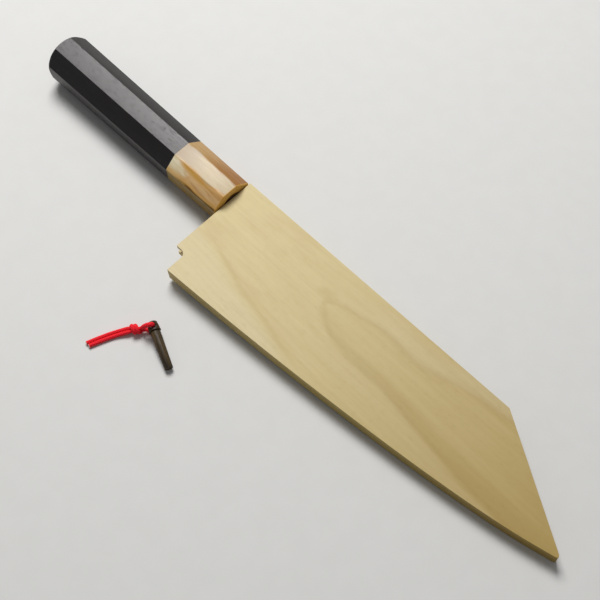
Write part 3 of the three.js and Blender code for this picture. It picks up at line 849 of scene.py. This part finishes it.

# %% [markdown]
# The wood itself is pale, close-grained and unlacquered. Along the board it is painted darker, towards
# honey at the tip: partly the wood's own tone, partly a painted falloff of the lamp's light. Fine fibres
# and short pores run along the board. Walls and strips are painted darker and more olive than the planed
# faces: partly other cuts of the same wood, partly painted shade on sides that face away from the lamp.
# One function makes all cuts: each takes its colours, the place in the wood that it is cut from, and how
# strongly the rings show.


# %% Finish of the sheath
def pale_wood(name, pale, honey, shift, ring_share):
    material, shader, start = new_finish(name, Specular_IOR_Level=0.3)
    spot = along_piece(start, knife_zero, knife_turn)
    x, y, z = spot.parts()
    moved = spot.stretched((1, 1, 1), shift)
    sway = moved.stretched((0.011, 0.05, 0.05)).noise(detail=3, distortion=0.4) - 0.5
    wander = moved.stretched((0.05, 0.16, 0.3)).noise(detail=2) - 0.5
    rise, arch, depth = growth_arch(x, y, sway, wander)
    arch_line, shade, pale_rim = arch_marks(x, rise, depth, sway)
    side_line, pale_side, side_blush = side_marks(x, y, wander)
    blush = moved.stretched((0.03, 0.09, 0.09), (2, 7, 0)).noise(detail=3).step(0.5, 0.68)
    blush = blush * (80 - x).step(0, 40) + side_blush * ring_share * 0.7
    ring = ((arch * 0.12 + z * 0.9 + sway * 7).sine() * 0.5 + 0.5) ** 3
    fibre = moved.stretched((0.035, 2.4, 2.4)).noise(detail=4, roughness=0.65)
    streak = moved.stretched((0.012, 0.42, 0.42)).noise(detail=3)
    pore = moved.stretched((0.22, 5.5, 5.5)).noise(detail=1).step(0.64, 0.74)
    main_line = arch_line * ring_share
    # darker honey towards the tip: partly the wood's own tone, partly a painted falloff of light
    colour = (x.step(-10, 320) * 0.95 + streak * 0.2 - 0.08).mix(tint(pale), tint(honey))
    for share, mark in (
        (ring * 0.05, "#A98A54"),
        (blush * 0.08, "#A8744E"),
        ((arch_line * 0.13 + shade + side_line * 0.13) * ring_share, "#98792C"),
        ((pale_side * 0.16 + pale_rim * 0.1) * ring_share, "#E4DAC8"),
        (fibre.step(0.42, 0.75) * 0.09, "#A08350"),
        (pore * 0.12, "#8A6C40"),
    ):
        colour = share.mix(colour, tint(mark))
    rough = 0.5 + fibre * 0.2 + pore * 0.1 - main_line * 0.04
    rough_and_bump(start, shader, colour, rough, fibre * 0.5 - pore * 0.8 - main_line * 0.2, 0.03)
    return material


def dress_node(node, finish):
    nodes[node].data.materials.clear()
    nodes[node].data.materials.append(finish)


upper_wood = pale_wood("pale_wood_upper", "#D6C594", "#A2853D", (0, 0, 0), 1)
lower_wood = pale_wood("pale_wood_lower", "#CEBC8C", "#9C803D", (140, 37, 21), 0.4)
# walls and strips: darker, more olive cuts, partly other cuts of the wood and partly painted shade
shaded_wall_wood = pale_wood("pale_wood_wall_shaded", "#B8A565", "#8F7530", (31, 55, 70), 0.2)
shaded_strip_wood = pale_wood("pale_wood_strip_shaded", "#AF9C5C", "#866B2A", (70, 90, 9), 0.3)
for board, face_wood in ((upper_board, upper_wood), (lower_board, lower_wood)):
    board.data.materials.append(face_wood)
    board.data.materials.append(shaded_wall_wood)
for strip in ("saya_spine_strip", "saya_nose_block", "saya_edge_strip"):
    dress_node(strip, shaded_strip_wood)
print("4 cuts of pale wood on 5 pieces")

# %% [markdown]
# ## The pin
#
# The pin is turned from dark wood. Its thick head carries the eye for the cord, and it lies with its head
# on the cord and the end of its shank on the table. It could be spun from its outline, but the eye would
# have to be cut again, so a copy of the CAD solid is used and its rims are rounded. Grain on a turned
# piece runs along its axis, so the pin gets a frame of its own.

# %% The pin
PIN_HEADING = math.radians(-22.3)
EYE_HEIGHT = UPPER_STRAND[0][2]
SHANK_END_HEIGHT = 2.05
SHANK_END_REACH = 22.7
PIN_FALL = math.atan2(EYE_HEIGHT - SHANK_END_HEIGHT, SHANK_END_REACH)
PIN_RIM = 0.16
RIM_TURN = math.radians(30)
END_LEAN = 0.9
pin_along = Vector((
    math.cos(PIN_HEADING) * math.cos(PIN_FALL),
    math.sin(PIN_HEADING) * math.cos(PIN_FALL),
    -math.sin(PIN_FALL),
))
pin_across = Vector((-math.sin(PIN_HEADING), math.cos(PIN_HEADING), 0))
pin_turn = Matrix((pin_along, pin_across, pin_along.cross(pin_across))).transposed()

pin_mesh = clean_copy("saya_pin")
pin_rims = [edge for edge in pin_mesh.edges if edge.calc_face_angle(0) > RIM_TURN]
break_edges(pin_mesh, pin_rims, PIN_RIM, segments=2)
for face in pin_mesh.faces:
    face.smooth = abs(face.normal.dot(pin_along)) < END_LEAN
pin = place_piece(pin_mesh, "turned_pin", "pin", "pin_wood", "saya_pin")

# %% [markdown]
# The wood of the pin is dark and oiled, with browner streaks and open pores along its axis. It has little
# shine, so that the streaks show in full light.

# %% Finish of the pin
pin_finish, shader, start = new_finish("dark_pin_wood", Specular_IOR_Level=0.32)
spot = along_piece(start, eye, pin_turn)
fibre = spot.stretched((0.12, 3.2, 3.2)).noise(detail=4, roughness=0.6)
streak = spot.stretched((0.05, 0.9, 0.9)).noise(detail=3, distortion=0.5)
pore = spot.stretched((0.5, 7, 7)).noise(detail=1).step(0.62, 0.72)
brown = (streak * 0.6 + fibre * 0.4).step(0.4, 0.64).mix(tint("#21180E"), tint("#564425"))
brown = (pore * 0.6).mix(brown, tint("#231C14"))
rough_and_bump(start, shader, brown, 0.42 + fibre * 0.2, fibre * 0.5 - pore, 0.04)
pin.data.materials.append(pin_finish)
print(pin_finish.name, "on the pin")

# %% [markdown]
# ## The blade
#
# The blade shows only when the knife is drawn. A soft wavy line runs above its edge, where the hard core
# comes out of its cladding. That line follows the edge, so how far a point lies above the edge is kept on
# the mesh. What a vertex keeps is only right near it, and the blade's faces are long. So they are first
# cut across at even stations.

# %% The blade, cut at stations
STATIONS = 80
HEEL_BELOW = -30
CUT_GAP = 1e-7
blade_mesh = clean_copy("blade")
outline = [in_knife(vert.co) for vert in blade_mesh.verts]
heel_x = min(place.x for place in outline if place.y < HEEL_BELOW)
tip_x = max(place.x for place in outline)
station_gap = (tip_x - heel_x) / STATIONS
for k in range(1, STATIONS):
    everything = blade_mesh.verts[:] + blade_mesh.edges[:] + blade_mesh.faces[:]
    cut_place = knife_zero + tipward * (heel_x + k * station_gap) * MM
    bmesh.ops.bisect_plane(blade_mesh, geom=everything, dist=CUT_GAP, plane_co=cut_place, plane_no=tipward)
print(f"edge from {heel_x:.1f} to {tip_x:.1f} mm, cut every {station_gap:.2f} mm")

# %% [markdown]
# The lowest vertex at each station lies on the edge. Between two stations the edge is taken as straight.
# The neck and the tang, behind the heel, have no edge and get a height above any wavy line.

# %% Height above the edge
STATION_SLACK = 0.02
NO_EDGE = 60
LAST_SHARE = 1e-6
lowest = [0] * (STATIONS + 1)
for vert in blade_mesh.verts:
    place = in_knife(vert.co)
    station = round((place.x - heel_x) / station_gap)
    if station >= 0 and abs(place.x - heel_x - station * station_gap) < STATION_SLACK:
        lowest[station] = min(lowest[station], place.y)

above_edge = blade_mesh.verts.layers.float.new("above_edge")
for vert in blade_mesh.verts:
    place = in_knife(vert.co)
    before = min(max((place.x - heel_x) / station_gap, 0), STATIONS - LAST_SHARE)
    station = int(before)
    edge_y = lowest[station] + (lowest[station + 1] - lowest[station]) * (before - station)
    vert[above_edge] = place.y - edge_y if place.x > heel_x - STATION_SLACK else NO_EDGE
for face in blade_mesh.faces:
    face.smooth = False
print(f"the edge lies up to {-min(lowest):.1f} mm from the knife's axis")
blade = place_piece(blade_mesh, "ground_blade", "knife", "steel", "blade")

# %% [markdown]
# The steel is stone-ground to a haze: fine lines run up and down, and the hard core along the edge is a
# little brighter. It is satin rather than a mirror, because a mirror would show the lamp and nothing of
# the steel.

# %% Finish of the blade
CORE_WAVE = 5
steel_finish, shader, start = new_finish("ground_steel", Metallic=1)
spot = along_piece(start, knife_zero, knife_turn)
height = start.add("Attribute", {"attribute_name": "above_edge"}, None, output="Fac")
wave = spot.stretched((0.09, 0.02, 0.02)).noise(detail=3) * CORE_WAVE
core = 1 - (height - wave).step(5.4, 7)
grind = spot.stretched((7, 0.12, 0.12)).noise(detail=3, roughness=0.7)
mist = spot.stretched((0.6, 0.6, 0.6)).noise(detail=4)
steel = core.mix(tint("#989A9C"), tint("#A8AAAC"))
steel = (grind.step(0.4, 0.75) * 0.3).mix(steel, tint("#76797C"))
rough_and_bump(start, shader, steel, 0.58 + grind * 0.1 + mist * 0.08 - core * 0.05, grind, 0.008)
blade.data.materials.append(steel_finish)
print(steel_finish.name, "on the blade")

# %% [markdown]
# ## Dowel and seal
#
# Inside handle and ferrule a raw wooden dowel holds the tang, and a plug of resin closes the mouth. Only
# the resin can be seen, on the drawn knife. Both keep their CAD meshes and get a simple finish of one
# noise.

# %% Dowel and seal
dowel_finish, shader, start = new_finish("dowel_wood")
spot = along_piece(start, knife_zero, knife_turn)
fibre = spot.stretched((0.06, 2.2, 2.2)).noise(detail=3)
wood = fibre.step(0.3, 0.7).mix(tint("#B9935F"), tint("#D2B483"))
rough_and_bump(start, shader, wood, 0.6 + fibre * 0.2, fibre, 0.04)
dress_node("handle_dowel", dowel_finish)

seal_finish, shader, start = new_finish("poured_resin", Coat_Weight=0.2)
spot = along_piece(start, knife_zero, knife_turn)
cloud = spot.stretched((0.3, 0.3, 0.3)).noise(detail=3)
resin = cloud.step(0.3, 0.7).mix(tint("#5E4022"), tint("#86643A"))
rough_and_bump(start, shader, resin, 0.3 + cloud * 0.15, cloud, 0.03)
dress_node("tang_seal", seal_finish)
print(dowel_finish.name, "and", seal_finish.name, "on 2 pieces")

# %% [markdown]
# ## Floor
#
# A plain pale floor carries the shadows. It belongs to the stage and not to the part. It fills the view
# of the photograph, and its far edge shows only from near the level of the table.

# %% Floor
FLOOR_HALF = 3
bm = bmesh.new()
bmesh.ops.create_grid(bm, x_segments=8, y_segments=8, size=FLOOR_HALF)
floor_mesh = bpy.data.meshes.new("floor")
bm.to_mesh(floor_mesh)
bm.free()
floor = bpy.data.objects.new("floor", floor_mesh)
scene.collection.objects.link(floor)

floor_finish, shader, start = new_finish("pale_floor")
place = start.add("TexCoord", None, None, output="Object")
grain = place.stretched((90, 90, 90)).noise(detail=3)
plain = grain.step(0.3, 0.7).mix(tint("#D5D4D1"), tint("#D7D6D3"))
rough_and_bump(start, shader, plain, 0.75 + grain * 0.1, grain, 0.02)
floor.data.materials.append(floor_finish)
print("floor of", 2 * FLOOR_HALF, "m")

# %% [markdown]
# ## Light
#
# One large soft lamp stands high behind the handle, where its mirror image falls on the handle's upper
# facet, and a plain grey surrounding fills the shadows. Together they light a level surface about as
# brightly as its colour is written, and the Standard view transform leaves that colour as it is.

# %% Light
LAMP_SIZE = 0.62
LAMP_POWER = 18.4
LAMP_PLACE = Vector((-0.625, 0.404, 1.14))
LAMP_AIM = Vector((-0.05, 0.02, 0.01))
SKY_COLOUR = (0.97, 0.98, 1, 1)
SKY_STRENGTH = 0.22

scene.view_settings.view_transform = "Standard"

lamp = bpy.data.objects.new("soft_lamp", bpy.data.lights.new("soft_lamp", "AREA"))
lamp.data.shape = "SQUARE"
lamp.data.size = LAMP_SIZE
lamp.data.energy = LAMP_POWER
lamp.location = LAMP_PLACE
lamp.rotation_euler = (LAMP_AIM - LAMP_PLACE).to_track_quat("-Z", "Y").to_euler()
scene.collection.objects.link(lamp)

world = bpy.data.worlds.new("plain_surrounding")
world.use_nodes = True
sky = world.node_tree.nodes["Background"]
sky.inputs["Color"].default_value = SKY_COLOUR
sky.inputs["Strength"].default_value = SKY_STRENGTH
scene.world = world
print("lamp of", LAMP_POWER, "W")
